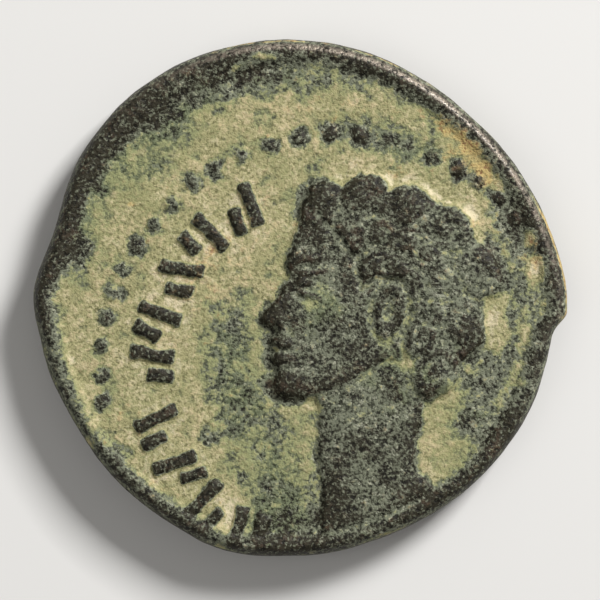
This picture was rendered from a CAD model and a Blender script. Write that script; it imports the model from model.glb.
"""A Roman bronze coin, worn and long buried, lying on its reverse under soft light from the upper right.

The coin is one closed surface, worked out in millimetres and stored in metres. Each face is a square lattice
drawn out to a disc, and rings round the edge join the two. The heights of the rim and of the forms that the
die left are functions of a place on the face. What the soil did to the metal is a few weights on each place,
which the finish turns into crust, powder and bare patina.
"""

import bpy
import numpy as np
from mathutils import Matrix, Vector


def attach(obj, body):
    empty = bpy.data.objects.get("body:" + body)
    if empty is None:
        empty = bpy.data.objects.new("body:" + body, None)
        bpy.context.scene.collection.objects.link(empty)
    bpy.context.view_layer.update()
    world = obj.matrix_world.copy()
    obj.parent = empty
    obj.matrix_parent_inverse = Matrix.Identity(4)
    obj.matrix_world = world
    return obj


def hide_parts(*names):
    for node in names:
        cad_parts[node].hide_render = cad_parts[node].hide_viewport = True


MM = 0.001

# The flan, as in the frame: mean radius, and heights over the plane that it lies on, of the fields, the rim
# and the limit that the relief stays under.
FLAN_RADIUS = 12.35
REVERSE_FIELD = 0.26
OBVERSE_FIELD = 2.31
OBVERSE_RIM = 2.59
EDGE_MIDDLE = OBVERSE_RIM / 2
HEIGHT_LIMIT = 2.9

# The rim's section, from the edge inwards.
SHOULDER_WIDTH = 0.56
LAND_WIDTH = 0.12
SLOPE_WIDTH = 0.75
EDGE_INSET = 0.12
HAMMERED = 0.03
WARP = 0.09
BROAD_WARP = 0.14

# Swells round the outline: angle in degrees, millimetres outwards, and degrees over which each dies away on
# its clockwise and its anticlockwise side.
OUTLINE_SWELLS = {
    "spur at right": (357, 0.6, 2.2, 12),
    "flat at upper right": (49, -0.31, 13, 20),
    "fullness at upper left": (126, 0.21, 20, 13),
    "hollow above left corner": (164, -0.28, 8, 5.5),
    "left corner": (180, 0.29, 5, 5),
    "swell below left corner": (194, 0.08, 8, 6),
    "flat at lower left": (212, -0.08, 8, 8),
    "fullness below": (254, 0.25, 8, 8),
    "flat at lower right": (291, -0.15, 8, 14),
}
# The same for the rim's inner slope, as shares of its width.
SLOPE_SWELLS = {
    "broad shoulder at upper left": (132, 0.85, 24, 20),
    "narrow rim at lower left": (228, -0.25, 20, 18),
}

# The dark band that follows the rim: its usual width, and where it is wider or narrower, in millimetres.
BAND_WIDTH = 1.2
BAND_SWELLS = {
    "upper left": (112, 0.95, 24, 26),
    "upper right": (20, -0.35, 14, 20),
    "right": (357, 0.15, 8, 5),
    "lower right": (312, -0.15, 12, 12),
    "under spur": (341, -0.5, 9, 9),
    "below": (252, -0.45, 10, 10),
    "lower left": (207, -0.95, 18, 20),
}

# The obverse die, off the flan's middle, with its border and legend.
OBVERSE_DIE = (1.81, -3.48)
BORDER_RADIUS = 11.2
BORDER_DOTS = 54
BORDER_FIRST = 187
BORDER_LAST = 40
DOT_DIAMETER = 0.86
DOT_HEIGHT = 0.22

# Swells along the border: degrees that the dots slipped by, height worn off them, and powder over them.
DOT_SLIPS = {
    "spread at upper left": (147, 0.7, 18, 22),
    "slipped clockwise at top": (84, -2.8, 18, 18),
}
DOT_WEAR = {
    "worn away above hair": (76, -0.9, 6, 6),
    "worn at upper right": (47, -0.5, 7, 5),
    "worn at left": (150, -0.42, 6, 5),
    "worn at lower left": (182, -0.25, 9, 9),
}
DOT_VEIL = {
    "above hair": (56, 0.3, 6, 8),
    "behind hair": (24, 0.3, 6, 5),
    "left": (172, 0.3, 7, 7),
    "upper left": (149, 0.22, 6, 6),
}

LEGEND_RADIUS = 8.8
LEGEND_HEIGHT = 2.1
LEGEND_SHORT = 0.6
LEGEND_SHIFT = 0.2
LEGEND_LEAN = 12
LEGEND_PLACES = (120, 135.5, 149.5, 165, 178, 198, 213, 227, 241)
STROKE_WIDTH = 0.6
STROKE_HEIGHT = 0.24
STROKE_GAP = 0.38
STROKE_FLANK = 0.14
STROKE_SLIP = 6
FLARE = 0.16

# The head, in shares of its height from chin to crown: forward from the upright through the ear, and up from
# the chin. A wall is the share of a form's height that stands upright.
HEAD_HEIGHT = 11.15
HEAD_PLACE = (4.14, 0.18)
HEAD_TILT = np.radians(8)
FACE_RELIEF = 0.42
NECK_RELIEF = 0.32
HAIR_BED = 0.38
CURL_RELIEF = 0.59
FACE_WALL = 0.55
NECK_WALL = 0.5
HAIR_WALL = 0.6
RELIEF_ROUNDING = 1.3
RELIEF_FLANK = 0.2

FACE_PROFILE = (
    (0.36, 0.85), (0.398, 0.74), (0.42, 0.64), (0.43, 0.58), (0.403, 0.515), (0.45, 0.43), (0.505, 0.34),
    (0.495, 0.305), (0.432, 0.283), (0.45, 0.228), (0.42, 0.197), (0.44, 0.165), (0.407, 0.12), (0.42, 0.06),
    (0.378, 0.005), (0.26, 0.005),
)
JAW = ((0.12, 0.05), (0.03, 0.15), (-0.06, 0.22), (-0.2, 0.16))
NECK = (
    (0.3, 0.1), (0.2, -0.03), (0.185, -0.16), (0.165, -0.35), (0.12, -0.6), (-0.56, -0.6), (-0.5, -0.36),
    (-0.36, -0.29), (-0.24, -0.22), (-0.22, -0.1), (-0.26, 0.3),
)
SKULL_MIDDLE = (-0.01, 0.5)
SKULL_SPAN = (0.43, 0.46)
SKULL_ARC = (232, 50)
HAIRLINE = (
    (0.5, 1.1), (0.37, 0.87), (0.3, 0.78), (0.2, 0.7), (0.13, 0.62), (0.1, 0.5), (0.03, 0.56), (-0.06, 0.56),
    (-0.11, 0.44), (-0.1, 0.3), (-0.14, 0.16), (-0.3, -0.02), (-0.8, 0.0), (-0.8, 1.2),
)

# The curls by rows: each one's turn about their middle, from forward towards up, and its distance from it.
# Then come the row's half length and half width.
CURL_MIDDLE = (0, 0.5)
CURL_LEAN = 68
CURL_ROWS = {
    "outer": (
        ((46, 0.455), (68, 0.42), (94, 0.38), (125, 0.385), (158, 0.4), (194, 0.355), (230, 0.4)),
        0.13, 0.1,
    ),
    "middle": (
        ((52, 0.27), (77, 0.25), (103, 0.24), (131, 0.24), (160, 0.25), (190, 0.22), (222, 0.25)),
        0.11, 0.08,
    ),
    "inner": (
        ((60, 0.12), (96, 0.11), (132, 0.11), (168, 0.12)),
        0.09, 0.06,
    ),
}

# Swellings and hollows of the face: place, spread along and across, lean in degrees, and height.
FACE_FORMS = {
    "brow": (0.35, 0.6, 0.085, 0.015, -8, 0.1),
    "eye socket": (0.33, 0.515, 0.075, 0.05, -8, -0.14),
    "upper lid": (0.325, 0.546, 0.045, 0.0095, -12, 0.2),
    "eyeball": (0.342, 0.503, 0.026, 0.017, -6, 0.32),
    "lower lid": (0.325, 0.456, 0.042, 0.0095, 10, 0.17),
    "hollow under eye": (0.31, 0.425, 0.05, 0.014, 10, -0.06),
    "bridge of nose": (0.44, 0.42, 0.06, 0.02, 118, 0.06),
    "wing of nose": (0.42, 0.32, 0.022, 0.022, 40, 0.13),
    "fold beside nose": (0.37, 0.275, 0.06, 0.012, 62, -0.08),
    "upper lip": (0.405, 0.224, 0.04, 0.014, -10, 0.1),
    "parting of lips": (0.4, 0.198, 0.05, 0.007, -2, -0.13),
    "lower lip": (0.4, 0.172, 0.036, 0.014, 6, 0.1),
    "hollow over chin": (0.39, 0.128, 0.04, 0.014, 0, -0.09),
    "chin": (0.365, 0.068, 0.04, 0.036, 0, 0.09),
    "cheek bone": (0.24, 0.4, 0.085, 0.045, -30, 0.09),
    "hollow of cheek": (0.24, 0.26, 0.07, 0.06, -50, -0.07),
    "line of jaw": (0.12, 0.12, 0.16, 0.035, -30, 0.07),
    "temple": (0.23, 0.62, 0.05, 0.05, 0, -0.07),
}

# The ear, and its swellings and hollows, placed from its middle and as shares of its height.
EAR = (-0.03, 0.43)
EAR_SPAN = (0.105, 0.062)
EAR_LEAN = 98
EAR_HEIGHT = 0.17
EAR_FORMS = {
    "lobe": (-0.078, 0, 0.022, 0.022, 0, 0.9),
    "hollow": (-0.005, -0.004, 0.036, 0.018, 0, -0.9),
    "flap before hollow": (-0.012, -0.048, 0.02, 0.012, 0, 0.7),
}
HAIRLINE_CREASE = 0.09

# The reverse die: a wreath round rows of strokes inside a plain line.
REVERSE_DIE = (-0.6, 0.45)
REVERSE_BORDER_RADIUS = 9.9
REVERSE_BORDER_WIDTH = 0.5
REVERSE_RELIEF = 0.2
WREATH_RADIUS = 7.3
WREATH_LEAVES = 11
LEAF_LENGTH = 2.3
LEAF_WIDTH = 0.95
LEAF_SPREAD = 0.55
LEAF_LEAN = 24
WREATH_GAP = 16
ROW_PITCH = 2.7
ROW_STROKES = (3, 5, 4)
ROW_STROKE_PITCH = 1.5
ROW_STROKE_LENGTH = 1.7
ROW_SHORT = 0.7
ROW_LEAN = 10

# Patches of the buried surface: place from the flan's middle, half length and width, turn in degrees, and
# strength. Crust runs from 0, bare patina, over 0.4, grey powder, and 0.65, olive earth, to 1, sand.
BARE_CRUST = 0.06
FIELD_CRUST = 0.97
CRUST_PATCHES = {
    "before nose and mouth": (-3.2, -2.9, 1.2, 3, 0, -0.62),
    "before chin": (-1.8, -5.2, 2, 1.4, 20, -0.5),
    "before neck": (-1.1, -8.2, 1.7, 1.9, 0, -0.42),
    "foot of field": (-0.2, -10.4, 2.2, 1.5, 8, -0.62),
    "between lower strokes": (-4.4, -6.6, 0.6, 0.5, 0, -0.5),
    "over lower strokes": (-6.1, -7.6, 0.6, 0.6, 0, -0.2),
    "under border at top": (2.4, 7.9, 0.9, 0.6, 0, -0.42),
    "under border at top right": (5, 7.2, 2.2, 0.8, -18, -0.56),
    "over border at top": (3.4, 8.6, 0.7, 0.5, 0, -0.15),
    "veil behind hair": (10, 3.2, 1.1, 2, 10, -0.72),
    "veil behind hair, lower": (10.9, 0.2, 0.9, 1.6, 0, -0.66),
    "powder on upper right rim": (10.7, 4.9, 1.3, 0.9, -55, 0.34),
    "smudge behind hair": (10.6, 3.9, 0.5, 0.28, 10, -0.42),
    "worn dot behind hair": (9.3, 4.9, 0.3, 0.25, 0, -0.3),
    "sand behind hair": (8.35, 3.8, 0.3, 0.85, 12, 0.5),
    "small island of sand": (11.07, 2.9, 0.3, 0.45, 10, 1),
    "island of sand by spur": (11.3, 1.3, 0.5, 0.75, -8, 1.3),
    "sand behind ear": (9.35, -0.1, 0.75, 1, -30, 0.5),
    "sand below it": (9.35, -2, 0.35, 0.8, 5, 0.45),
    "olive earth by spur": (10.6, -1.5, 0.6, 0.8, 0, 0.25),
    "sand at foot": (-3.1, -10.4, 0.45, 0.8, 15, 0.6),
    "right of nape": (9, -3.1, 1.5, 0.9, 15, -0.55),
    "right of nape, by rim": (10.7, -3, 0.8, 0.7, 0, -0.3),
    "dark blot at foot": (-1.8, -10.4, 0.9, 0.8, 0, -0.45),
    "between two sands": (10.1, -0.8, 0.35, 1, 10, -0.45),
    "powder on right rim": (11.5, -2.4, 0.6, 1.8, -15, 0.3),
    "powder on lower right rim": (10.6, -5.6, 0.5, 1.6, -30, 0.25),
    "right of neck": (9.2, -5.2, 1.5, 1.3, -40, -0.34),
    "right of nape's sand": (8.8, -4.3, 0.9, 0.5, 10, -0.4),
    "olive spot at right": (10.4, -4.1, 0.7, 0.25, 0, 0.3),
    "behind neck": (8, -6, 0.8, 0.9, 0, -0.62),
    "beside neck, at right": (6.2, -7.6, 0.9, 1.2, 0, -0.22),
    "below right of neck": (6.2, -9.8, 1.4, 0.6, 25, -0.3),
    "lower right rim": (10.1, -6.1, 0.9, 1.5, -30, -0.2),
    "left": (-10.2, 2.2, 0.8, 1, 0, -0.5),
    "left, higher": (-9.3, 4.6, 0.6, 0.8, 0, -0.34),
    "upper left": (-7.1, 6.1, 1.4, 0.8, 25, -0.34),
    "upper left, under rim": (-5.9, 7.7, 1, 0.7, 30, -0.4),
    "lower left rim": (-8.4, -7.3, 0.6, 0.8, 40, -0.3),
    "under chin": (0.3, -5.9, 0.9, 0.9, 0, -0.28),
    "earth at upper right": (8.6, 7, 1.6, 0.6, -48, 0.35),
    "fleck on top rim": (-1.7, 11.45, 0.75, 0.25, 4, 0.8),
    "under top rim": (-0.3, 10.4, 2.4, 0.6, 0, -0.3),
    "fleck on top rim, left": (-2.8, 10.95, 0.4, 0.25, 20, 0.6),
    "fleck on upper left rim": (-8.2, 8.3, 0.25, 0.2, 0, 0.6),
    "powder on top rim": (0.2, 11.2, 3.2, 0.7, 0, 0.42),
    "powder on back of hair": (7.7, 1.2, 1.7, 2.4, 0, 0.42),
    "powder over ear": (6.3, -0.8, 2, 1.6, 0, 0.2),
    "powder on cheek": (0.8, -0.4, 1.2, 0.8, 10, 0.3),
    "powder along jaw": (2, -5.4, 3.2, 0.8, 0, 0.38),
    "powder on jaw": (1.6, -3.5, 2.2, 1.3, 10, 0.16),
    "powder on neck": (3.4, -9.4, 2, 1.8, 0, 0.2),
    "powder down neck's front": (1.1, -8.4, 0.5, 2.6, 4, 0.24),
    "powder down neck's back": (5.5, -7, 0.5, 2.2, 0, 0.16),
    "powder at neck's foot": (2.4, -11.4, 3.6, 0.7, 6, 0.2),
    "bare front of hair": (1.2, 4.6, 1.3, 1.2, 0, -0.08),
    "bare crown": (4.6, 4, 1.8, 1.2, -20, -0.09),
    "bare curl at nape": (8.2, -1.3, 0.6, 0.8, 0, -0.12),
    "powder at nape": (6.8, -3.4, 1.1, 1.2, 0, 0.18),
}
# Earth left on the head, over what its grooves hold.
EARTH_ON_HEAD = {
    "cheek, by nose": (0.5, -0.45, 0.5, 0.3, -20, 0.3),
    "cheek": (1.5, -0.1, 0.45, 0.4, 0, 0.25),
    "before ear": (4, -1.7, 0.6, 0.8, 0, 0.24),
    "behind jaw": (5.3, -3.1, 0.5, 1, -20, 0.42),
    "nape": (7.3, -4.1, 0.5, 1.1, -15, 0.62),
}
GREEN_PATCHES = {
    "before chin": (-2.9, -4, 1.6, 2.8, 0, 0.8),
    "before neck": (-1, -8.2, 1.8, 2.2, 0, 0.7),
    "low down": (-0.8, -10.6, 2.2, 1, 10, 0.7),
    "left": (-9.2, 4.4, 1.5, 3, -30, 0.9),
    "upper left": (-6, 8, 3, 1.1, 40, 0.8),
    "lower left": (-9.4, -4.2, 1, 2.6, 20, 0.5),
    "top right": (4.8, 7.2, 2.8, 0.9, -18, 0.6),
    "behind neck": (7.2, -6.6, 1.4, 2.4, 0, 0.7),
    "jaw": (4.6, -3.6, 2, 1.6, 0, 0.6),
    "cheek": (1, -0.4, 1.6, 1.2, 0, 0.6),
    "under top rim": (-0.6, 10.4, 2.8, 0.8, 0, 0.4),
}
# Pale crust along the outline of the hair.
PALE_BESIDE_HAIR = {
    "front curls": (2.9, 5.7, 1.3, 1, 8, 0.4),
    "crown": (5.5, 5.4, 2.6, 1.2, -25, 1.3),
    "back of hair": (8.1, 3.7, 0.8, 1, -50, 0.6),
}
# Where the crust thins out over a wider margin beside the head.
FEATHERED = {
    "throat": (1, -7.6, 1, 3, 0, 1),
    "before mouth": (-1.2, -3, 1, 2.6, 0, 1),
    "behind hair": (9, 1.6, 1, 1.8, 0, 1),
    "nape": (7.6, -5, 1.2, 2.4, 0, 0.7),
}
OCHRE_PATCHES = {
    "upper right field, higher": (7, 8.1, 0.9, 0.45, -40, 0.7),
    "upper right field": (8.3, 6.9, 1.1, 0.5, -52, 1),
    "upper right field, lower": (8.9, 5.7, 0.6, 0.5, -60, 0.7),
    "under border": (7.2, 6.6, 0.9, 0.5, -40, 0.35),
    "above hair": (4.7, 6, 0.9, 0.45, -20, 0.4),
    "spot at upper left": (-7.9, 4.45, 0.22, 0.2, 0, 0.8),
    "islands of sand": (11.2, 2, 0.5, 1.3, 0, 0.45),
    "sand behind hair": (8.4, 3.6, 0.35, 0.9, 12, 0.35),
    "lower left": (-8.4, -5.6, 1.2, 0.5, -40, 0.25),
    "among lower strokes": (-6.6, -9, 0.8, 0.5, -40, 0.3),
    "among upper strokes": (-4, 1.6, 3.2, 1.2, 45, 0.34),
    "over border at top": (1.5, 8.9, 2.4, 0.5, 0, 0.25),
}

# Swells round the rim: ochre crust on the edge, and metal rubbed bright along the ridge.
OCHRE_EDGE = {
    "right": (12, 1.5, 12, 10),
    "top": (96, 0.8, 10, 9),
    "upper right": (70, 0.6, 7, 7),
}
POLISHED = {
    "upper right ridge": (48, 0.9, 26, 26),
    "top": (92, 0.6, 12, 16),
}

SCRATCHED_PATCHES = {
    "behind ear": (6.95, -0.3, 0.4, 1.2, 20, 1),
    "left rim": (-11.8, 0.1, 0.5, 0.5, 0, 0.6),
}
SCRATCH_TURN = 112

# The depth and the lumps of the crust, the lumps of bare patina, how often the surface is averaged to tell
# fine and wide hollows, and over what height the tops are eased under the limit.
CRUST_DEPTH = 0.024
CRUST_LUMPS = 0.01
BARE_LUMPS = 0.022
HOLLOW_AVERAGES = 24
WIDE_HOLLOW_AVERAGES = 150
TOP_EASING = 0.08

# How many cells wide each face's lattice is, how far its rings crowd towards the rim, and the edge's rings.
OBVERSE_CELLS = 256
OBVERSE_CROWDING = 0.5
REVERSE_CELLS = 128
EDGE_RINGS = 8


# Unevenness

WORD = 0xFFFFFFFF
SEED_FACTOR = 0x9E3779B1
AXIS_FACTORS = (0x8DA6B343, 0xD8163841, 0xCB1AB31F)
MIXING = ((0x2C1B3C6D, 15), (0x297A2D39, 13))


def scatter(x, y, z, seed):
    """A fixed number from 0 to 1 for three whole numbers: each, times a large odd number, is folded into one
    word, which is mixed by products and shifts and divided by its greatest value."""
    mixed = np.full(x.shape, seed * SEED_FACTOR & WORD, dtype=np.uint64)
    for axis, axis_factor in zip((x, y, z), AXIS_FACTORS):
        mixed = mixed ^ (axis.astype(np.int64) & WORD).astype(np.uint64) * np.uint64(axis_factor)
        for factor, shift in MIXING:
            mixed = (mixed * np.uint64(factor)) & np.uint64(WORD)
            mixed = mixed ^ (mixed >> np.uint64(shift))
    return mixed.astype(float) / WORD


def grain(x, y, z, size, seed):
    """Smooth unevenness from -1 to 1 in lumps about size across: the scatter at the eight whole places round
    a place, blended along each axis by 6t^5 - 15t^4 + 10t^3."""
    places = np.stack([x, y, z]) / size + 17.3 * seed
    whole = np.floor(places)
    t = places - whole
    blend = t * t * t * (t * (t * 6 - 15) + 10)
    total = 0
    for corner in np.ndindex(2, 2, 2):
        weight = 1
        for side, share in zip(corner, blend):
            weight = weight * (share if side else 1 - share)
        total = total + weight * scatter(*(floor + side for floor, side in zip(whole, corner)), seed)
    return 2 * total - 1


def rough(x, y, z, size, seed, octaves=3):
    """Unevenness at several sizes: each octave is grain at half the size and strength of the last."""
    total = 0
    for octave in range(octaves):
        total = total + 0.5**octave * grain(x, y, z, size / 2**octave, seed + octave)
    return total / (2 - 0.5 ** (octaves - 1))


def uneven(x, y, size, seed, octaves=3):
    """The same on a face, where only the place counts."""
    return rough(x, y, np.zeros_like(x), size, seed, octaves)


# Forms on a face

def step(low, high, value):
    """From 0 at low to 1 at high by 3t^2 - 2t^3."""
    t = np.clip((value - low) / (high - low), 0, 1)
    return t * t * (3 - 2 * t)


def soft_max(a, b, blend):
    """The greater of two heights, with the crease between them filled over a difference of blend."""
    share = np.clip(0.5 + 0.5 * (a - b) / blend, 0, 1)
    return b + (a - b) * share + blend * share * (1 - share)


def swell_sum(swells, degrees):
    """The sum of bells round the coin, each with its own width on its clockwise and anticlockwise side."""
    total = np.zeros_like(degrees)
    for at, by, clockwise, anticlockwise in swells.values():
        away = (degrees - at + 180) % 360 - 180
        width = np.where(away < 0, clockwise, anticlockwise)
        total += by * np.exp(-0.5 * (away / width) ** 2)
    return total


def patch_sum(patches, x, y, fall=1):
    """The sum of oval bells on a face, each turned and as strong as its last number says: e to the power of
    -fall times the squared share of its spread."""
    total = np.zeros_like(x)
    for at_x, at_y, along, across, turn, by in patches.values():
        p, q = turned(x - at_x, y - at_y, np.radians(turn))
        total += by * np.exp(-fall * ((p / along) ** 2 + (q / across) ** 2))
    return total


def turned(x, y, angle):
    """A place's two distances along and across a direction at that angle."""
    return x * np.cos(angle) + y * np.sin(angle), y * np.cos(angle) - x * np.sin(angle)


def from_polar(distance, degrees, middle=(0, 0)):
    """The place at a distance from a middle, at that angle."""
    angle = np.radians(degrees)
    return middle[0] + distance * np.cos(angle), middle[1] + distance * np.sin(angle)


def edge_radius(degrees):
    """The outline: the mean radius, the swells, and the fine unevenness that a hammer leaves."""
    angle = np.radians(degrees)
    hammer = rough(4 * np.cos(angle), 4 * np.sin(angle), 0 * angle, 1.1, 3)
    return FLAN_RADIUS - HAMMERED + swell_sum(OUTLINE_SWELLS, degrees) + HAMMERED * hammer


def face_height(from_edge, degrees, rim, field, slope_swells):
    """A face without its relief: a quarter of an ellipse for the shoulder, the flat land, and a smooth slope
    down to the field. Heights run from the middle of the edge, so both faces use it."""
    shoulder = np.sqrt(1 - (1 - np.clip(from_edge / SHOULDER_WIDTH, 0, 1)) ** 2)
    slope = SLOPE_WIDTH * (1 + swell_sum(slope_swells, degrees))
    fall = step(0, 1, (from_edge - SHOULDER_WIDTH - LAND_WIDTH) / slope)
    return EDGE_MIDDLE + (rim - EDGE_MIDDLE) * shoulder + (field - rim) * fall


def dome(distance, radius, height):
    """A worn pellet: height times the root of 1 less the squared share of its radius."""
    return height * np.sqrt(np.clip(1 - (distance / radius) ** 2, 0, 1))


def bar_depth(x, y, at, length, angle, width):
    """How far inside a stroke a place lies: a box with rounded corners, whose half width grows by the flare's
    share from the middle to the ends."""
    p, q = turned(x - at[0], y - at[1], angle)
    half = width / 2 * (1 - FLARE / 3 + FLARE * np.clip(2 * np.abs(p) / length, 0, 1) ** 3)
    corner = width / 4
    past_end = np.abs(p) - (length / 2 - corner)
    past_side = np.abs(q) - (half - corner)
    outside = np.hypot(np.clip(past_end, 0, None), np.clip(past_side, 0, None))
    return corner - outside - np.minimum(np.maximum(past_end, past_side), 0)


def depth_in(outline, x, y):
    """How far inside an outline a place lies, negative outside: the least distance to the outline's sides,
    with its sign from how often a line to the right crosses them."""
    nearest = np.full(x.shape, np.inf)
    inside = np.zeros(x.shape, dtype=bool)
    for (ax, ay), (bx, by) in zip(outline, np.roll(outline, -1, axis=0)):
        along_x, along_y = bx - ax, by - ay
        span = along_x**2 + along_y**2
        if span < 1e-12:
            continue
        share = np.clip(((x - ax) * along_x + (y - ay) * along_y) / span, 0, 1)
        nearest = np.minimum(nearest, np.hypot(x - ax - share * along_x, y - ay - share * along_y))
        crosses = (ay > y) != (by > y)
        if along_y != 0:
            inside ^= crosses & (x < ax + (y - ay) * along_x / along_y)
    return np.where(inside, nearest, -nearest)


def smooth_curve(points, count):
    """Places along a curve through the points: each span is the cubic that meets its neighbours' chords."""
    points = np.array(points, dtype=float)
    padded = np.vstack([points[:1], points, points[-1:]])
    along = np.linspace(0, len(points) - 1, count)
    start = np.minimum(along.astype(int), len(points) - 2)
    t = (along - start)[:, None]
    a, b, c, d = (padded[start + i] for i in range(4))
    return b + t * ((c - a) / 2 + t * (a - 2.5 * b + 2 * c - d / 2 + t * ((d - a) / 2 + 1.5 * (b - c))))


def head_outline():
    """The head without its hair: the profile as a curve, the jaw, and the skull's arc."""
    turn = np.radians(np.linspace(*SKULL_ARC, 24))
    skull = np.stack([
        SKULL_MIDDLE[0] + SKULL_SPAN[0] * np.cos(turn),
        SKULL_MIDDLE[1] + SKULL_SPAN[1] * np.sin(turn),
    ], axis=1)
    return np.vstack([smooth_curve(FACE_PROFILE, 60), JAW, skull])


def place_on_head(x, y):
    """A place on the coin as shares of the head's height, forward and up, in its tilted frame."""
    dx = (x - HEAD_PLACE[0]) / HEAD_HEIGHT
    dy = (y - HEAD_PLACE[1]) / HEAD_HEIGHT
    forward = -dx * np.cos(HEAD_TILT) + dy * np.sin(HEAD_TILT)
    up = dx * np.sin(HEAD_TILT) + dy * np.cos(HEAD_TILT)
    return forward, up + 0.5


def relief_in(depth, height, wall):
    """Relief by its depth inside an outline: a flank up to the wall, then a quarter round."""
    round_up = np.sqrt(1 - (1 - np.clip(depth / RELIEF_ROUNDING, 0, 1)) ** 2)
    return height * step(-RELIEF_FLANK, RELIEF_FLANK, depth) * (wall + (1 - wall) * round_up)


def curl_heights(forward, up):
    """The curls: each is an oval dome with a worn groove winding in it, and the highest one counts. Also
    gives how far inside the nearest outer curl a place lies, in millimetres."""
    highest = np.zeros_like(forward)
    lobes = np.full(forward.shape, -9.0)
    forward = forward + 0.014 * uneven(forward, up, 0.1, 71, 2)
    up = up + 0.014 * uneven(forward, up, 0.1, 74, 2)
    worn_to = 0.45 + 0.55 * step(-0.35, 0.35, uneven(forward, up, 0.22, 77, 2))
    for row, (places, half_long, half_wide) in CURL_ROWS.items():
        for turn, distance in places:
            at_forward, at_up = from_polar(distance, turn, CURL_MIDDLE)
            p, q = turned(forward - at_forward, up - at_up, np.radians(turn + CURL_LEAN))
            share = np.hypot(p / half_long, q / half_wide)
            winding = np.cos(2 * np.pi * (1.6 * share - np.arctan2(q, p) / (2 * np.pi) + 0.02 * turn))
            groove = 0.55 * step(0, 0.7, winding) * step(1.1, 0.7, share) * step(0.05, 0.3, share)
            body = np.clip(1 - share**2, 0, 1) ** 0.6
            highest = np.maximum(highest, body * (1 - groove * worn_to))
            if row == "outer":
                lobes = np.maximum(lobes, (1 - share) * half_wide * HEAD_HEIGHT)
    return highest, lobes


def head_height(x, y):
    """The head over the field: the face's relief with its forms, the ear, and the hair, whose outline is the
    skull's and the outer curls' together, joined to the neck by a soft maximum."""
    forward, up = place_on_head(x, y)
    in_head = HEAD_HEIGHT * depth_in(head_outline(), forward, up)
    in_neck = HEAD_HEIGHT * depth_in(np.array(NECK), forward, up)
    in_hair = HEAD_HEIGHT * depth_in(np.array(HAIRLINE), forward, up)
    curls, lobes = curl_heights(forward, up)
    in_outline = np.maximum(in_head, lobes)

    face = relief_in(in_head, FACE_RELIEF, FACE_WALL)
    face += patch_sum(FACE_FORMS, forward, up, 0.5) * step(0, 0.35, in_head)

    p, q = turned(forward - EAR[0], up - EAR[1], np.radians(EAR_LEAN))
    share = np.hypot(p / EAR_SPAN[0], q / EAR_SPAN[1])
    behind = step(-0.8, 0.2, q / EAR_SPAN[1])
    ear = np.exp(-0.5 * ((share - 0.84) / 0.15) ** 2) * (0.25 + 0.75 * behind)
    ear += 0.45 * np.exp(-0.5 * ((share - 0.45) / 0.12) ** 2) * step(0, 0.02, q)
    ear += patch_sum(EAR_FORMS, p, q, 0.5)
    around_ear = 0.5 * np.exp(-0.5 * ((share - 1.3) / 0.16) ** 2)

    curls *= 0.9 + 0.4 * (0.35 - np.abs(uneven(x, y, 0.9, 61, 2)))
    hair = relief_in(in_outline, HAIR_BED, HAIR_WALL)
    hair += (CURL_RELIEF - HAIR_BED) * curls * step(-0.1, 0.35, in_outline)
    hair += 0.025 * uneven(x, y, 0.5, 64, 1) * step(0, 0.3, in_outline)
    under_hair = step(-0.25, 0.25, np.maximum(in_hair, lobes - 0.3))
    head = face * (1 - under_hair) + np.maximum(hair, 0) * under_hair
    head -= HAIRLINE_CREASE * np.exp(-((in_hair / 0.16) ** 2)) * step(0, 0.3, in_head)
    head += EAR_HEIGHT * (ear * step(1.35, 1.1, share) - around_ear) * step(0, 0.3, in_head)

    neck = relief_in(in_neck, NECK_RELIEF, NECK_WALL)
    muscle = turned(forward - 0.02, up + 0.15, np.radians(118))[1]
    neck += 0.05 * np.exp(-((muscle / 0.05) ** 2)) * step(0, 0.8, in_neck)
    return soft_max(head, neck, 0.06), np.maximum(in_outline, in_neck)


def dot_heights(x, y):
    """The border: a dome at each place along the ring, clockwise, no two quite as wide or as high. Also gives
    how far inside the nearest one a place lies."""
    highest = np.zeros_like(x)
    inside = np.full(x.shape, -9.0)
    evens = np.arange(BORDER_FIRST, BORDER_LAST, -360 / BORDER_DOTS)
    angles = evens + swell_sum(DOT_SLIPS, evens)
    order = np.arange(len(evens))
    chance = scatter(order, 0 * order, 0 * order, 5)
    height = DOT_HEIGHT * np.clip(0.8 + 0.3 * chance + swell_sum(DOT_WEAR, evens), 0.01, None)
    radius = DOT_DIAMETER / 2 * (0.8 + 0.2 * scatter(order, 0 * order, 0 * order, 6))
    for angle, rise, reach in zip(angles, height, radius):
        at_x, at_y = from_polar(BORDER_RADIUS, angle, OBVERSE_DIE)
        distance = np.hypot(x - at_x, y - at_y)
        highest = np.maximum(highest, dome(distance, reach, rise))
        standing = min(rise / DOT_HEIGHT, 1)
        inside = np.maximum(inside, 0.75 * (reach * standing**0.6 - distance) - 0.35 * (1 - standing) ** 2)
    return highest, inside


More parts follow.
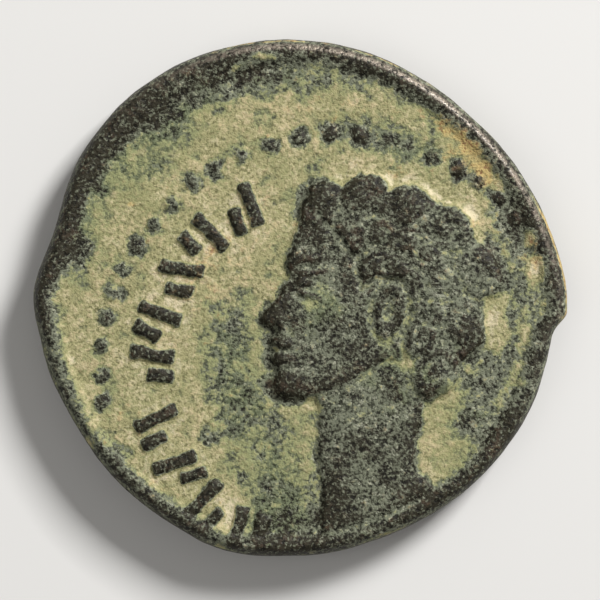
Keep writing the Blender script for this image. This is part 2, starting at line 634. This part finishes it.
def legend_heights(x, y):
    """The legend's places: a long stroke and a short one beside it, by turns at its head and at its foot.
    Also gives how far inside the nearest stroke a place lies."""
    highest = np.zeros_like(x)
    inside = np.full(x.shape, -9.0)
    for i, place in enumerate(LEGEND_PLACES):
        lean = np.radians(place + LEGEND_LEAN * (i % 3 - 1))
        shift = LEGEND_HEIGHT * LEGEND_SHIFT * (1 if i % 2 else -1)
        for side, length, along in ((-1, LEGEND_HEIGHT, 0), (1, LEGEND_HEIGHT * LEGEND_SHORT, shift)):
            aside = np.degrees(side * (STROKE_WIDTH + STROKE_GAP) / 2 / LEGEND_RADIUS)
            at = from_polar(LEGEND_RADIUS + along, place + aside, OBVERSE_DIE)
            chance = scatter(np.array([i]), np.array([side]), np.array([0]), 8)[0]
            slip = np.radians(STROKE_SLIP) * (2 * chance - 1)
            depth = bar_depth(x, y, at, length, lean + slip, STROKE_WIDTH)
            inside = np.maximum(inside, depth)
            highest = np.maximum(highest, STROKE_HEIGHT * step(-STROKE_FLANK, STROKE_FLANK, depth))
    return highest, inside


def obverse_relief(x, y):
    """All that the obverse die left, in millimetres over the field, and how far inside the head, a dot and a
    stroke a place lies. Places are first pushed aside a little, so that no edge runs true."""
    aside_x = x + WARP * uneven(x, y, 0.8, 11) + BROAD_WARP * uneven(x, y, 2.6, 12, 1)
    aside_y = y + WARP * uneven(x, y, 0.8, 14) + BROAD_WARP * uneven(x, y, 2.6, 15, 1)
    head, in_head = head_height(aside_x, aside_y)
    dots, in_dots = dot_heights(aside_x, aside_y)
    strokes, in_strokes = legend_heights(aside_x, aside_y)
    return np.maximum(np.maximum(dots, strokes), head), in_head, in_dots, in_strokes


def leaf_heights(x, y):
    """The wreath: pairs of pointed leaves with a rib, in two branches that meet below and part above."""
    highest = np.zeros_like(x)
    for side in (-1, 1):
        for i in range(WREATH_LEAVES):
            turn = -90 + side * (180 - WREATH_GAP) * (i + 0.5) / WREATH_LEAVES
            for row in (-1, 1):
                at_x, at_y = from_polar(WREATH_RADIUS + row * LEAF_SPREAD, turn, REVERSE_DIE)
                lean = turn + side * (90 - row * LEAF_LEAN)
                p, q = turned(x - at_x, y - at_y, np.radians(lean))
                width = LEAF_WIDTH / 2 * np.clip(1 - (2 * p / LEAF_LENGTH) ** 2, 0, 1)
                share = np.clip(np.abs(q) / np.maximum(width, 1e-6), 0, 1)
                rib = 0.2 * np.exp(-((q / 0.07) ** 2))
                leaf = REVERSE_RELIEF * np.sqrt(1 - share**2) * step(0, 0.2, width) * (0.85 - rib)
                highest = np.maximum(highest, leaf)
    return highest


def reverse_relief(x, y):
    """All that the reverse die left: the line border, the wreath and the rows of strokes."""
    from_die = np.hypot(x - REVERSE_DIE[0], y - REVERSE_DIE[1])
    worn_to = 0.75 + 0.35 * uneven(x, y, 4, 67)
    line = dome(from_die - REVERSE_BORDER_RADIUS, REVERSE_BORDER_WIDTH / 2, REVERSE_RELIEF) * worn_to
    highest = np.maximum(line, leaf_heights(x, y))
    for row, count in enumerate(ROW_STROKES):
        for i in range(count):
            length = ROW_STROKE_LENGTH * (ROW_SHORT if (i + row) % 2 else 1)
            at = (
                REVERSE_DIE[0] + (i - (count - 1) / 2) * ROW_STROKE_PITCH,
                REVERSE_DIE[1] + (1 - row) * ROW_PITCH + (ROW_STROKE_LENGTH - length) / 2,
            )
            lean = np.radians(90 + ROW_LEAN * (i % 3 - 1))
            depth = bar_depth(x, y, at, length, lean, STROKE_WIDTH)
            highest = np.maximum(highest, 0.9 * REVERSE_RELIEF * step(-0.06, 0.2, depth))
    return highest


# The coin's surface

def disc_lattice(cells):
    """A square lattice drawn out to a disc: the place (a, b) goes to the ring as far out as the greater of
    |a| and |b|, and round it by the lesser over the greater, so that ring k holds 8k places evenly spaced.
    Gives each place's share of the radius and its angle in degrees, the quads, and the rim from angle 0."""
    half = cells // 2
    b, a = np.meshgrid(np.arange(-half, half + 1), np.arange(-half, half + 1), indexing="ij")
    a, b = a.ravel(), b.ravel()
    greater = np.maximum(np.maximum(np.abs(a), np.abs(b)), 1)
    sideways = np.abs(a) >= np.abs(b)
    degrees = np.where(sideways, 45 * b / np.where(a == 0, 1, a), 90 - 45 * a / np.where(b == 0, 1, b))
    degrees += np.where(np.where(sideways, a < 0, b < 0), 180, 0)
    share = np.where((a == 0) & (b == 0), 0, greater / half)

    side = cells + 1
    corner = (np.arange(cells)[:, None] * side + np.arange(cells)).ravel()
    quads = np.stack([corner, corner + 1, corner + side + 1, corner + side], axis=1)

    run = np.arange(cells)
    right = run * side + cells
    top = cells * side + (cells - run)
    left = (cells - run) * side
    rim = np.concatenate([right, top, left, run])
    return share, degrees, quads, np.roll(rim, -half)


def flan_middle():
    """The middle of the outline's box, which the part has at its origin."""
    degrees = np.arange(0, 360, 0.25)
    x, y = from_polar(edge_radius(degrees), degrees)
    return (x.max() + x.min()) / 2, (y.max() + y.min()) / 2


def smoothed(values, cells, times):
    """Values on a lattice, averaged with their neighbours along both its directions so many times."""
    field = values.reshape(cells + 1, cells + 1)
    for _ in range(2 * times):
        padded = np.pad(field, ((1, 1), (0, 0)), mode="edge")
        field = ((padded[:-2] + 2 * padded[1:-1] + padded[2:]) / 4).T
    return field.ravel()


def face_places(cells, crowding):
    """A face's lattice on the flan, its rings crowded towards the rim: its places, how far in from the edge
    each is, their angles, the quads and the rim."""
    share, degrees, quads, rim = disc_lattice(cells)
    radius = edge_radius(degrees)
    distance = (share + crowding * share**8 * (1 - share)) * (radius - EDGE_INSET)
    return *from_polar(distance, degrees), radius - distance, degrees, quads, rim


def obverse_surface():
    """The obverse as places and weights on its lattice. The crust is full in the field and gives way over
    relief and along the rim. It is thicker in hollows, where the surface lies below its own average."""
    x, y, from_edge, degrees, quads, rim = face_places(OBVERSE_CELLS, OBVERSE_CROWDING)
    z = face_height(from_edge, degrees, OBVERSE_RIM, OBVERSE_FIELD, SLOPE_SWELLS)
    relief, in_head, in_dots, in_strokes = obverse_relief(x, y)
    near_rim = step(SHOULDER_WIDTH - 0.1, SHOULDER_WIDTH + LAND_WIDTH + SLOPE_WIDTH, from_edge)
    lift = np.maximum(relief * near_rim - 0.8 * np.clip(z - OBVERSE_FIELD, 0, None), 0)
    waves = 0.03 * uneven(x, y, 3.5, 31) + 0.032 * uneven(x, y, 0.9, 34, 2)
    z += lift + waves * step(0.1, 0.8, from_edge)

    band = BAND_WIDTH + swell_sum(BAND_SWELLS, degrees)
    along_rim = step(-1, 1.1, from_edge - band + 0.5 * uneven(x, y, 1.5, 21))
    ragged = 0.16 * uneven(x, y, 0.8, 24)
    feather = 0.35 + 0.6 * patch_sum(FEATHERED, x, y)
    off_dots = step(0.22, -0.35, in_dots + ragged)
    off_strokes = step(0.12, -0.14, in_strokes + 0.4 * ragged)
    off_head = step(0.22, -feather, in_head + 1.6 * ragged)
    off_relief = np.minimum(np.minimum(off_dots, off_strokes), off_head)
    clouds = 0.14 * uneven(x, y, 2.6, 27) + 0.12 * uneven(x, y, 1.1, 30)
    crust = BARE_CRUST + FIELD_CRUST * np.minimum(along_rim, off_relief)
    crust += patch_sum(CRUST_PATCHES, x, y) + clouds
    crust += 0.2 * np.exp(-(((in_strokes + 0.3) / 0.16) ** 2))
    crust += 0.2 * step(-0.15, 0.15, in_head)
    veil = 0.26 + 0.25 * uneven(x, y, 2, 33) + swell_sum(DOT_VEIL, degrees)
    crust += step(-0.15, 0.1, in_dots) * veil

    lumps = uneven(x, y, 0.42, 38, 1)
    hollow = smoothed(z, OBVERSE_CELLS, HOLLOW_AVERAGES) - z
    wide_hollow = smoothed(z, OBVERSE_CELLS, WIDE_HOLLOW_AVERAGES) - z
    on_head = step(-0.1, 0.3, in_head)
    crust += np.clip(2.6 * hollow, -0.2, 0.2) * (1 - on_head) - 0.17 * lumps * (1 - 0.5 * on_head)
    settled = np.clip(6 * hollow, -0.2, 0.26) + np.clip(1.6 * wide_hollow, -0.02, 0.14)
    crust += (settled + 0.1 * uneven(x, y, 0.9, 81, 2)) * on_head
    crust -= 0.7 * np.clip(crust - 0.5, 0, 1) * on_head
    crust += patch_sum(EARTH_ON_HEAD, x, y)
    broken = step(-0.55, 0.15, uneven(x, y, 0.6, 83, 2))
    pale_line = np.exp(-(((in_head + 0.04 - 1.2 * ragged) / 0.26) ** 2)) * broken
    crust += patch_sum(PALE_BESIDE_HAIR, x, y) * pale_line
    edge_line = step(0.24, 0.06, from_edge) * swell_sum(OCHRE_EDGE, degrees)
    crust += 0.6 * edge_line

    covered = step(0.35, 0.85, crust)
    crust_depth = CRUST_DEPTH + CRUST_LUMPS * uneven(x, y, 0.45, 41, 1)
    z += covered * crust_depth * step(0.1, 0.6, from_edge)
    z += (1 - covered) * BARE_LUMPS * lumps * step(0.1, 0.4, from_edge)
    over = np.clip(z - HEIGHT_LIMIT + TOP_EASING, 0, None)
    z = z - over + TOP_EASING * (1 - np.exp(-over / TOP_EASING))
    ridge = step(0.6, 0.46, from_edge) * step(0.2, 0.36, from_edge) * swell_sum(POLISHED, degrees)
    weights = {
        "crust": crust,
        "green": patch_sum(GREEN_PATCHES, x, y),
        "ochre": patch_sum(OCHRE_PATCHES, x, y) + edge_line,
        "worn": ridge * (1 - covered),
        "scratched": patch_sum(SCRATCHED_PATCHES, x, y),
        "carved": on_head,
    }
    return (x, y, z), weights, quads, rim


def reverse_surface():
    """The reverse in the same way, turned over about X: its heights run down to the plane that it lies on."""
    x, y, from_edge, degrees, quads, rim = face_places(REVERSE_CELLS, 0)
    z = face_height(from_edge, degrees, 0, REVERSE_FIELD, {})
    relief = reverse_relief(x, -y)
    near_rim = step(SHOULDER_WIDTH + LAND_WIDTH, SHOULDER_WIDTH + LAND_WIDTH + SLOPE_WIDTH, from_edge)
    waves = 0.02 * uneven(x, y, 3, 41) + 0.014 * uneven(x, y, 0.8, 44)
    z -= (relief + waves - 0.02) * near_rim

    band = 1.3 + 0.5 * uneven(x, y, 2.5, 45)
    rubbed = 0.45 + 0.5 * step(-0.4, 0.3, uneven(x, y, 3, 49))
    crust = (1 - rubbed * step(0.02, 0.13, relief)) * step(-0.8, 0.8, from_edge - band)
    crust += 0.5 * uneven(x, y, 3.6, 46) - 0.5 * step(0.25, 0.6, uneven(x, y, 4.5, 43)) - 0.08
    weights = {
        "crust": crust,
        "green": 0.35 + 0.8 * uneven(x, y, 4, 47),
        "ochre": 0.9 * step(0.35, 0.8, uneven(x, y, 3.4, 48)),
        "worn": 0.6 * step(0.05, 0.15, relief),
    }
    return (x, y, np.maximum(z, 0)), weights, quads, rim


def edge_surface(count):
    """The edge between the faces: rings down half an ellipse, each place pushed in or out by hammer marks and
    pits that die away towards the faces."""
    reach = np.arccos(1 - EDGE_INSET / SHOULDER_WIDTH)
    turns = reach * (1 - 2 * np.arange(1, EDGE_RINGS) / EDGE_RINGS)
    turn, degrees = np.meshgrid(turns, 360 * np.arange(count) / count, indexing="ij")
    turn, degrees = turn.ravel(), degrees.ravel()
    height = EDGE_MIDDLE + EDGE_MIDDLE * np.sin(turn)
    radius = edge_radius(degrees) - SHOULDER_WIDTH * (1 - np.cos(turn))
    x, y = from_polar(radius, degrees)
    window = np.cos(turn / reach * np.pi / 2)
    marks = 0.05 * rough(x, y, height, 2.4, 51) + 0.02 * rough(x, y, height, 0.5, 54)
    x, y = from_polar(radius + window * (marks - 0.03), degrees)
    blotches = rough(x, y, height, 1.6, 56)
    upper_part = step(0.3, 0.9, height / OBVERSE_RIM + 0.6 * blotches)
    sunny = np.clip(swell_sum(OCHRE_EDGE, degrees), 0, 1) * upper_part
    weights = {
        "crust": 0.15 + 0.5 * blotches + 0.45 * sunny,
        "green": 0.2 + 0.6 * rough(x, y, height, 2.2, 58),
        "ochre": sunny * (0.7 + 0.6 * blotches),
        "worn": 0.16 * window,
    }
    return (x, y, height), weights


def ring_quads(upper, lower):
    """Quads between two rings with as many places, facing outwards."""
    return np.stack([upper, lower, np.roll(lower, -1), np.roll(upper, -1)], axis=1)


def halving_faces(upper, lower):
    """Triangles between a ring and one below it with half as many places, three to each lower place."""
    first, second, third = upper[0::2], upper[1::2], np.roll(upper, -2)[0::2]
    following = np.roll(lower, -1)
    return np.concatenate([
        np.stack([first, lower, second], axis=1),
        np.stack([second, lower, following], axis=1),
        np.stack([second, following, third], axis=1),
    ])


def placed(name, data):
    """A new object in the scene that shows the data."""
    made = bpy.data.objects.new(name, data)
    bpy.context.scene.collection.objects.link(made)
    return made


def make_coin(material):
    """The whole coin: both faces and the edge's rings, joined along the rims. A weight that one of them
    lacks is 0 there."""
    top, top_weights, top_quads, top_rim = obverse_surface()
    low, low_weights, low_quads, low_rim = reverse_surface()
    side, side_weights = edge_surface(len(top_rim))
    places = np.concatenate([top, side, low], axis=1).T - (*flan_middle(), 0)

    side_start = len(top[0])
    low_start = side_start + len(side[0])
    rings = np.arange(side_start, low_start).reshape(EDGE_RINGS - 1, len(top_rim))
    stack = [top_rim, *rings]
    quads = [ring_quads(upper, lower) for upper, lower in zip(stack, stack[1:])]
    quads = np.concatenate([top_quads, *quads, low_quads[:, ::-1] + low_start])
    faces = quads.tolist() + halving_faces(stack[-1], low_rim + low_start).tolist()

    mesh = bpy.data.meshes.new("struck_coin")
    mesh.from_pydata((places * MM).tolist(), [], faces)
    mesh.polygons.foreach_set("use_smooth", np.ones(len(mesh.polygons), dtype=bool))
    surfaces = ((top, top_weights), (side, side_weights), (low, low_weights))
    for name in top_weights:
        values = [weights.get(name, np.zeros(len(at[0]))) for at, weights in surfaces]
        layer = mesh.attributes.new(name, "FLOAT", "POINT")
        layer.data.foreach_set("value", np.concatenate(values).astype(np.float32))
    mesh.materials.append(material)
    mesh.update()
    return placed("struck_coin", mesh)


# The finish

class Value:
    """A number that changes over the surface: a socket whose Python operators each add one Math node."""

    def __init__(self, tree, socket):
        self.tree = tree
        self.socket = socket

    def maths(self, operation, *others):
        node = self.tree.nodes.new("ShaderNodeMath")
        node.operation = operation
        for target, value in zip(node.inputs, (self, *others)):
            if isinstance(value, Value):
                self.tree.links.new(value.socket, target)
            else:
                target.default_value = value
        return Value(self.tree, node.outputs[0])

    def __add__(self, other):
        return self.maths("ADD", other)

    __radd__ = __add__

    def __mul__(self, other):
        return self.maths("MULTIPLY", other)

    __rmul__ = __mul__

    def __sub__(self, other):
        return self.maths("SUBTRACT", other)

    def __rsub__(self, other):
        return (self * -1) + other

    def step(self, low, high):
        """From 0 at low to 1 at high, with soft ends."""
        node = self.tree.nodes.new("ShaderNodeMapRange")
        node.interpolation_type = "SMOOTHSTEP"
        self.tree.links.new(self.socket, node.inputs["Value"])
        node.inputs["From Min"].default_value = low
        node.inputs["From Max"].default_value = high
        return Value(self.tree, node.outputs["Result"])


class Finish:
    """A material being made: its node tree, with one method that adds any node."""

    def __init__(self, name):
        self.material = bpy.data.materials.new(name)
        self.material.use_nodes = True
        self.tree = self.material.node_tree
        self.tree.nodes.clear()

    def node(self, kind, sockets=None, **settings):
        """A node of that kind: its settings first, then the values or links of its sockets."""
        made = self.tree.nodes.new(kind)
        for name, value in settings.items():
            setattr(made, name, value)
        for name, value in (sockets or {}).items():
            target = made.inputs[name]
            if isinstance(value, Value):
                self.tree.links.new(value.socket, target)
            elif isinstance(value, bpy.types.NodeSocket):
                self.tree.links.new(value, target)
            else:
                target.default_value = value
        return made

    def weight(self, name):
        """One of the surface's own weights."""
        node = self.node("ShaderNodeAttribute", attribute_type="GEOMETRY", attribute_name=name)
        return Value(self.tree, node.outputs["Fac"])

    def noise(self, size, detail, roughness, seed):
        """Noise round 0 in lumps about that many millimetres across, moved aside by the seed."""
        place = self.node("ShaderNodeTexCoord").outputs["Object"]
        moved = self.node("ShaderNodeVectorMath", {0: place, 1: (0.031 * seed, 0.017 * seed, 0.023 * seed)})
        node = self.node("ShaderNodeTexNoise", {
            "Vector": moved.outputs[0],
            "Scale": 1 / (size * MM),
            "Detail": detail,
            "Roughness": roughness,
        })
        return Value(self.tree, node.outputs["Fac"]) - 0.5

    def streaks(self, across, along, turn, seed):
        """Noise drawn out into streaks: so many millimetres across and along, turned by so many degrees."""
        place = self.node("ShaderNodeTexCoord").outputs["Object"]
        laid = self.node("ShaderNodeMapping", {
            "Vector": place,
            "Rotation": (0, 0, -np.radians(turn)),
            "Scale": (1 / (along * MM), 1 / (across * MM), 1 / (across * MM)),
            "Location": (seed * 1.7, seed * 2.3, 0),
        }, vector_type="POINT")
        node = self.node("ShaderNodeTexNoise", {"Vector": laid.outputs[0], "Scale": 1.0, "Detail": 1.0})
        return Value(self.tree, node.outputs["Fac"])

    def finished(self, sockets):
        """The material, now with a shader that takes these sockets."""
        shader = self.node("ShaderNodeBsdfPrincipled", sockets)
        self.node("ShaderNodeOutputMaterial", {"Surface": shader.outputs["BSDF"]})
        return self.material

    def coated(self, under, *coats):
        """A colour under coats: each is how much of it shows, and its own colour."""
        for share, coat in coats:
            sockets = {0: share, 6: colour(under), 7: colour(coat)}
            under = self.node("ShaderNodeMix", sockets, data_type="RGBA").outputs[2]
        return under


def colour(value):
    """A colour as a socket takes it: a link as it is, and three numbers with full alpha."""
    return value if isinstance(value, bpy.types.NodeSocket) else (*value, 1.0)


SAND_DARK = (0.17, 0.16, 0.075)
SAND = (0.325, 0.302, 0.152)
SAND_LIGHT = (0.485, 0.43, 0.255)
SAND_PALE = (0.62, 0.54, 0.37)
SAND_GREEN = (0.26, 0.262, 0.12)
SAND_CREAM = (0.475, 0.39, 0.225)
OLIVE_DARK = (0.125, 0.135, 0.072)
OLIVE = (0.26, 0.272, 0.13)
POWDER_DARK = (0.058, 0.062, 0.04)
POWDER = (0.16, 0.17, 0.118)
POWDER_LIGHT = (0.31, 0.315, 0.235)
MOSS = (0.135, 0.165, 0.075)
OCHRE = (0.53, 0.38, 0.15)
RUST = (0.26, 0.12, 0.05)
PATINA = (0.027, 0.0235, 0.0135)
PATINA_BLACK = (0.0075, 0.0065, 0.0035)
PATINA_BROWN = (0.075, 0.05, 0.033)
WORN_BRONZE = (0.34, 0.285, 0.23)


# The finish's noises: size in millimetres, detail and roughness.
GRAINS = ((2.2, 2, 0.5), (1, 3, 0.6), (0.5, 3, 0.6), (0.25, 3, 0.6), (0.15, 2, 0.6), (0.18, 2, 0.6))
SCRATCH_SIZE = (0.13, 3.0)
BUMP_DEPTH = 0.05


def buried_bronze():
    """Patinated bronze under earth. The crust's weight and the grain together give how much lies at a place,
    and as it grows the black patina takes grey-green powder, then olive earth, then sand."""
    finish = Finish("patinated_bronze")
    names = ("crust", "green", "ochre", "worn", "scratched", "carved")
    crust, green, ochre, worn, scratched, carved = (finish.weight(name) for name in names)
    noises = (finish.noise(*grains, seed) for seed, grains in enumerate(GRAINS, 1))
    cloud, clump, mottle, speckle, dust, grit = noises

    amount = crust + (clump * 0.65 + mottle * 0.75) * (1 - carved * 0.5) + speckle * (1 - carved * 0.2)
    powdered = (amount + dust).step(0.1, 0.55)
    earthy = (amount + green * 0.14 + grit * 0.6).step(0.56, 0.82)
    sandy = (amount - speckle * 0.9 + clump * 0.6).step(0.7, 0.98)

    patina = finish.coated(
        PATINA,
        ((clump + mottle).step(0.02, 0.2) * 0.5, PATINA_BROWN),
        ((speckle + dust * 0.5).step(0.02, -0.16), PATINA_BLACK),
        ((grit + dust * 0.4).step(0.05, 0.17) * 0.8, POWDER),
    )
    powder = finish.coated(
        POWDER_DARK,
        ((dust + speckle).step(-0.16, 0.1), POWDER),
        ((grit + mottle * 0.5 + amount * 0.12).step(0.1, 0.27), POWDER_LIGHT),
        ((green + clump * 2).step(0.2, 0.9) * 0.5, MOSS),
    )
    olive = finish.coated(
        OLIVE_DARK,
        ((grit + mottle * 0.6).step(-0.16, 0.08), OLIVE),
        ((grit + speckle).step(0.12, 0.34), SAND),
    )
    sand = finish.coated(
        SAND_DARK,
        ((dust * 1.4 + speckle * 0.4).step(-0.24, 0), SAND),
        ((dust * 0.7 + speckle * 0.6 + clump * 0.5).step(0, 0.22), SAND_LIGHT),
        ((mottle + speckle * 1.4 - cloud * 0.9).step(0, 0.3) * 0.6, SAND_CREAM),
        ((amount + mottle + grit * 1.2).step(1.2, 1.7) * 0.8, SAND_PALE),
        ((green * 0.4 + cloud * 1.2 + mottle * 1.4 + grit * 1.6).step(0, 0.5) * 0.65, SAND_GREEN),
        ((grit - dust * 0.8 + green * 0.05).step(0.12, 0.24) * 0.6, OLIVE),
    )
    scored = finish.streaks(*SCRATCH_SIZE, SCRATCH_TURN, 7).step(0.56, 0.66) * scratched.step(0.25, 0.6)
    stain = (ochre + mottle * 2 + speckle * 1.2).step(0.25, 0.95) * (powdered * 0.5 + 0.25)
    rusty = finish.coated(OCHRE, ((mottle - dust).step(0.08, 0.2), RUST))
    rubbed = worn * (speckle + dust + mottle).step(-0.24, 0.1)
    base = finish.coated(
        patina,
        (powdered, powder),
        (earthy, olive),
        (sandy, sand),
        (scored * 0.75, POWDER_LIGHT),
        (stain, rusty),
        (rubbed * 0.8, WORN_BRONZE),
    )
    roughness = powdered * 0.2 + sandy * 0.15 + dust * 0.4 - rubbed * 0.14 + 0.54
    height = powdered * 0.35 + sandy * 0.4 + dust * 1.5 + speckle + mottle * 0.9 - scored * 0.5
    bump = finish.node("ShaderNodeBump", {"Height": height, "Distance": BUMP_DEPTH * MM, "Strength": 0.9})
    return finish.finished({
        "Base Color": base,
        "Roughness": roughness,
        "Normal": bump.outputs["Normal"],
        "Metallic": rubbed * 0.85,
        "Specular IOR Level": 0.2,
        "Coat Weight": rubbed * 0.35,
        "Coat Roughness": 0.3,
    })


# The stage: the photograph's width and the view's centre in millimetres, and the lights' azimuth and
# elevation in degrees, distance and size in metres, and power in watts.

FRAME_WIDTH = 28.5
VIEW_CENTRE = (-0.024, -0.095, 2.4)
LENS_MM = 300
SENSOR_MM = 36
CARD_REACH = 0.6
CARD = (0.68, 0.67, 0.65)
KEY_LIGHT = (48, 36, 0.5, 0.14, 3.8)
FILL_LIGHT = (200, 60, 0.6, 0.4, 0.5)
SURROUND = (1.0, 0.985, 0.96)
SURROUND_STRENGTH = 0.22


def make_floor():
    """A square of plain pale matt card under the coin, wide enough to fill any view."""
    mesh = bpy.data.meshes.new("floor")
    corners = [(x * CARD_REACH, y * CARD_REACH, 0) for x, y in ((-1, -1), (1, -1), (1, 1), (-1, 1))]
    mesh.from_pydata(corners, [], [(0, 1, 2, 3)])
    mesh.materials.append(Finish("pale_card").finished({"Base Color": colour(CARD), "Roughness": 0.9}))
    floor = placed("floor", mesh)


def make_camera():
    """Straight above the coin, as far off as puts the photograph's width at the height of the relief."""
    data = bpy.data.cameras.new("camera")
    data.lens = LENS_MM
    data.sensor_width = SENSOR_MM
    data.clip_start = 0.01
    data.clip_end = 10
    camera = placed("camera", data)
    distance = FRAME_WIDTH * LENS_MM / SENSOR_MM
    camera.location = Vector((*VIEW_CENTRE[:2], VIEW_CENTRE[2] + distance)) * MM
    bpy.context.scene.camera = camera


def make_light(name, azimuth, elevation, distance, size, power):
    """A square soft box that faces the coin, from an azimuth and an elevation in degrees."""
    data = bpy.data.lights.new(name, "AREA")
    data.size = size
    data.energy = power
    light = placed(name, data)
    turn, rise = np.radians(azimuth), np.radians(elevation)
    place = Vector((np.cos(turn) * np.cos(rise), np.sin(turn) * np.cos(rise), np.sin(rise))) * distance
    light.location = place
    light.rotation_euler = place.to_track_quat("Z", "Y").to_euler()


def make_world():
    """An even pale surround."""
    world = bpy.data.worlds.new("surround")
    world.use_nodes = True
    background = world.node_tree.nodes["Background"]
    background.inputs["Color"].default_value = colour(SURROUND)
    background.inputs["Strength"].default_value = SURROUND_STRENGTH
    bpy.context.scene.world = world


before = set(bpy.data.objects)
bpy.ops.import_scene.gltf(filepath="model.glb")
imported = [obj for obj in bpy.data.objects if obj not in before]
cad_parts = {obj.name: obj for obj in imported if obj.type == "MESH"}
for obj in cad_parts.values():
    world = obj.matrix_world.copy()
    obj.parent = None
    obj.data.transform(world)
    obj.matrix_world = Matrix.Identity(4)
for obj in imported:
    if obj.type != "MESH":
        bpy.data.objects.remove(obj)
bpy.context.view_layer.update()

coin = make_coin(buried_bronze())
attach(coin, "root")
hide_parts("coin")

make_floor()
make_camera()
make_light("key", *KEY_LIGHT)
make_light("fill", *FILL_LIGHT)
make_world()
bpy.context.scene.view_settings.view_transform = "Standard"
